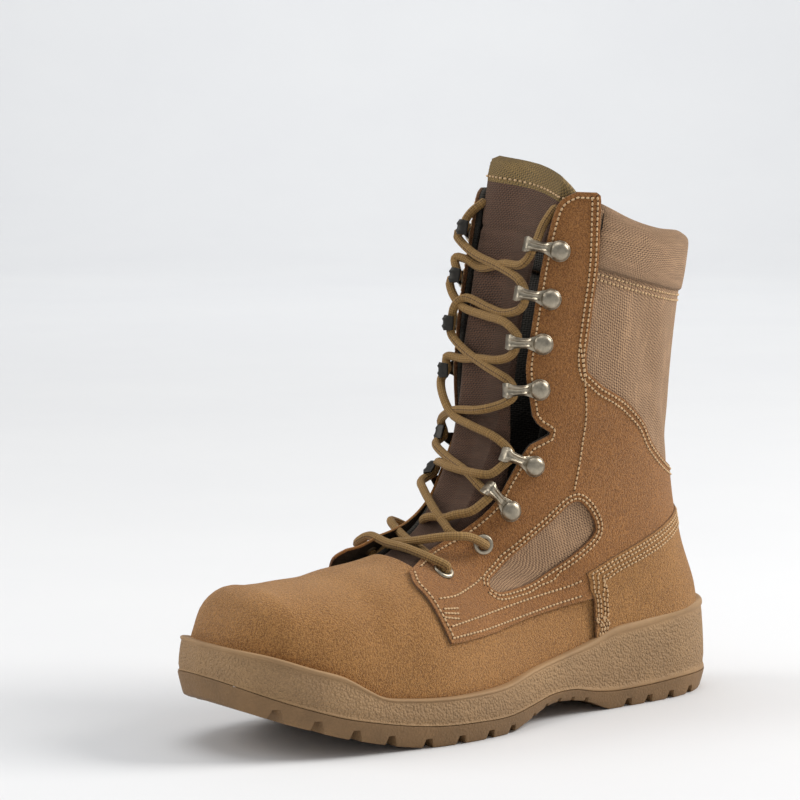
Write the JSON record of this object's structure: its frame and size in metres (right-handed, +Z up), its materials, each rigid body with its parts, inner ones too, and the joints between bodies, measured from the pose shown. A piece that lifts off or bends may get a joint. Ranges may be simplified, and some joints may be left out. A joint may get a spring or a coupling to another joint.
{
  "type": "lace-up boot",
  "caption": "Left lace-up duty boot with a rounded suede toe, high shaft, padded collar, open lace hooks and a lugged rubber sole; stands empty.",
  "frame": {"origin": "centre of the footprint's box, on the floor under the sole", "axes": "+Z up from the floor, -Y towards the toe, +X towards the outer (lateral) side of the foot"},
  "size_m": [0.1112, 0.3096, 0.2807],
  "materials": {
    "outsole_rubber": "matt, darker olive tan",
    "midsole_rubber": "pebbled grey tan with a smooth rolled lip",
    "suede": "napped suede, coyote brown",
    "nylon": "woven nylon, brown",
    "olive_webbing": "ribbed webbing, olive",
    "lining": "dark knitted lining",
    "lace_cord": "braided cord, olive gold",
    "hardware_metal": "satin, champagne grey",
    "vent_mesh": "matt olive"
  },
  "bodies": {
    "root": {"outsole": "outsole_rubber", "midsole": "midsole_rubber", "upper": "suede", "insole": "lining", "tongue": "nylon", "quarter_lateral": "suede", "quarter_medial": "suede", "counter": "suede", "collar": "nylon", "backstay": "olive_webbing", "lace": "lace_cord", "hook_lateral_1": "hardware_metal", "hook_lateral_2": "hardware_metal", "hook_lateral_3": "hardware_metal", "hook_lateral_4": "hardware_metal", "hook_lateral_5": "hardware_metal", "hook_lateral_6": "hardware_metal", "hook_medial_1": "hardware_metal", "hook_medial_2": "hardware_metal", "hook_medial_3": "hardware_metal", "hook_medial_4": "hardware_metal", "hook_medial_5": "hardware_metal", "hook_medial_6": "hardware_metal", "eyelet_lateral_1": "hardware_metal", "eyelet_lateral_2": "hardware_metal", "eyelet_medial_1": "hardware_metal", "eyelet_medial_2": "hardware_metal", "vent_medial_1": "vent_mesh", "vent_medial_2": "vent_mesh"}
  },
  "joints": []
}
